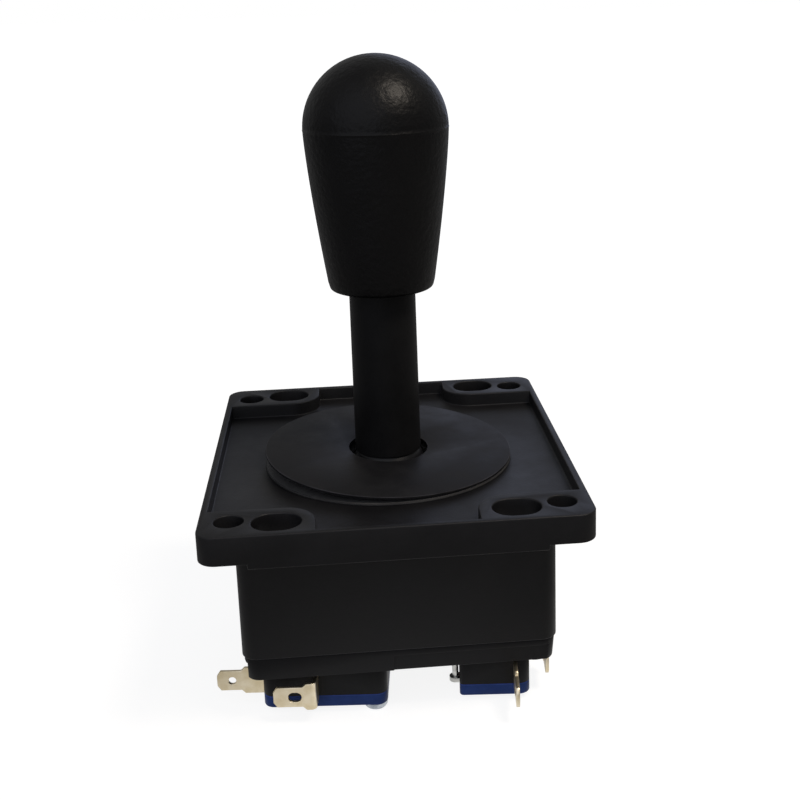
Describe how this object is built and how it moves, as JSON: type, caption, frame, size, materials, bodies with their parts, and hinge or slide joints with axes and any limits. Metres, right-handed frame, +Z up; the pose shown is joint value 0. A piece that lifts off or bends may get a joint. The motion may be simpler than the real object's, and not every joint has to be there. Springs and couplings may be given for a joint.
{
  "type": "arcade joystick",
  "caption": "Bat-top joystick on a slotted panel plate, with a sprung ball pivot and lever switches in a pinwheel under its square body.",
  "frame": {"origin": "centre of the plate's top face, on the stick's centre line", "axes": "+Z up the stick, out of the panel; +X to the right, across the plate's shorter side; +Y to the back, along its longer side"},
  "size_m": [0.0834, 0.0952, 0.1444],
  "materials": {
    "housing_plastic": "fine matt mould texture",
    "base_plastic": "satin moulding",
    "washer_plastic": "satin sheet, punched",
    "grip_plastic": "satin moulding, handled",
    "sleeve_plastic": "satin moulding",
    "shaft_steel": "turned, bright",
    "spring_steel": "drawn wire, oiled",
    "zinc_plate": "zinc plated",
    "acetal": "satin moulding",
    "switch_black": "fine matt mould texture",
    "switch_blue": "satin moulding",
    "lever_steel": "rolled strip, stamped",
    "plunger_plastic": "satin moulding",
    "terminal_tin": "stamped brass, tinned",
    "contact_alloy": "rolled spring strip"
  },
  "bodies": {
    "housing": {"housing": "housing_plastic", "switch_base": "base_plastic", "dust_washer": "washer_plastic", "lower_washer": "washer_plastic", "spring_seat": "zinc_plate", "base_screws": "zinc_plate", "switch_screws": "zinc_plate", "front_case": "switch_black", "right_case": "switch_black", "back_case": "switch_black", "left_case": "switch_black", "front_cover": "switch_blue", "right_cover": "switch_blue", "back_cover": "switch_blue", "left_cover": "switch_blue", "front_end_tab": "terminal_tin", "right_end_tab": "terminal_tin", "back_end_tab": "terminal_tin", "left_end_tab": "terminal_tin", "front_bent_tab": "terminal_tin", "right_bent_tab": "terminal_tin", "back_bent_tab": "terminal_tin", "left_bent_tab": "terminal_tin", "front_blade": "contact_alloy", "right_blade": "contact_alloy", "back_blade": "contact_alloy", "left_blade": "contact_alloy"},
    "tilt_ring": {"return_spring": "spring_steel"},
    "tilt_frame": {"actuator": "acetal"},
    "stick": {"grip": "grip_plastic", "shaft_sleeve": "sleeve_plastic", "shaft": "shaft_steel", "pivot_ball": "acetal", "retaining_clip": "spring_steel"},
    "front_switch_lever": {"front_lever": "lever_steel"},
    "front_switch_plunger": {"front_plunger": "plunger_plastic"},
    "right_switch_lever": {"right_lever": "lever_steel"},
    "right_switch_plunger": {"right_plunger": "plunger_plastic"},
    "back_switch_lever": {"back_lever": "lever_steel"},
    "back_switch_plunger": {"back_plunger": "plunger_plastic"},
    "left_switch_lever": {"left_lever": "lever_steel"},
    "left_switch_plunger": {"left_plunger": "plunger_plastic"}
  },
  "joints": [
    {"name": "tilt_fore_aft", "type": "hinge", "parent": "housing", "child": "tilt_ring", "pos_m": [0, 0, -0.006], "axis": [1, 0, 0], "range_deg": [-8, 8], "stiffness_Nm_per_rad": 2.5, "deforming": ["return_spring"]},
    {"name": "tilt_left_right", "type": "hinge", "parent": "tilt_ring", "child": "tilt_frame", "pos_m": [0, 0, -0.006], "axis": [0, 1, 0], "range_deg": [-8, 8], "stiffness_Nm_per_rad": 2.5, "deforming": ["return_spring"]},
    {"name": "shaft_spin", "type": "hinge", "parent": "tilt_frame", "child": "stick", "pos_m": [0, 0, -0.006], "axis": [0, 0, 1], "continuous": true},
    {"name": "front_lever_hinge", "type": "hinge", "parent": "housing", "child": "front_switch_lever", "pos_m": [-0.02768, -0.01234, -0.0446], "axis": [0, 0, 1], "range_deg": [-8.5, 8.5], "stiffness_Nm_per_rad": 0.01},
    {"name": "front_plunger_slide", "type": "slide", "parent": "housing", "child": "front_switch_plunger", "axis": [0.0872, 0.9962, 0], "range_m": [-0.0009, 0.0009], "stiffness_N_per_m": 20},
    {"name": "right_lever_hinge", "type": "hinge", "parent": "housing", "child": "right_switch_lever", "pos_m": [0.01234, -0.02768, -0.0446], "axis": [0, 0, 1], "range_deg": [-8.5, 8.5], "stiffness_Nm_per_rad": 0.01},
    {"name": "right_plunger_slide", "type": "slide", "parent": "housing", "child": "right_switch_plunger", "axis": [-0.9962, 0.0872, 0], "range_m": [-0.0009, 0.0009], "stiffness_N_per_m": 20},
    {"name": "back_lever_hinge", "type": "hinge", "parent": "housing", "child": "back_switch_lever", "pos_m": [0.02768, 0.01234, -0.0446], "axis": [0, 0, 1], "range_deg": [-8.5, 8.5], "stiffness_Nm_per_rad": 0.01},
    {"name": "back_plunger_slide", "type": "slide", "parent": "housing", "child": "back_switch_plunger", "axis": [-0.0872, -0.9962, 0], "range_m": [-0.0009, 0.0009], "stiffness_N_per_m": 20},
    {"name": "left_lever_hinge", "type": "hinge", "parent": "housing", "child": "left_switch_lever", "pos_m": [-0.01234, 0.02768, -0.0446], "axis": [0, 0, 1], "range_deg": [-8.5, 8.5], "stiffness_Nm_per_rad": 0.01},
    {"name": "left_plunger_slide", "type": "slide", "parent": "housing", "child": "left_switch_plunger", "axis": [0.9962, -0.0872, 0], "range_m": [-0.0009, 0.0009], "stiffness_N_per_m": 20}
  ],
  "couplings": [
    {"joint": "front_lever_hinge", "follows": "tilt_fore_aft", "ratio": 1},
    {"joint": "front_plunger_slide", "follows": "tilt_fore_aft", "m_per_rad": 0.0057},
    {"joint": "right_lever_hinge", "follows": "tilt_left_right", "ratio": 1},
    {"joint": "right_plunger_slide", "follows": "tilt_left_right", "m_per_rad": 0.0057},
    {"joint": "back_lever_hinge", "follows": "tilt_fore_aft", "ratio": -1},
    {"joint": "back_plunger_slide", "follows": "tilt_fore_aft", "m_per_rad": -0.0057},
    {"joint": "left_lever_hinge", "follows": "tilt_left_right", "ratio": -1},
    {"joint": "left_plunger_slide", "follows": "tilt_left_right", "m_per_rad": -0.0057}
  ]
}
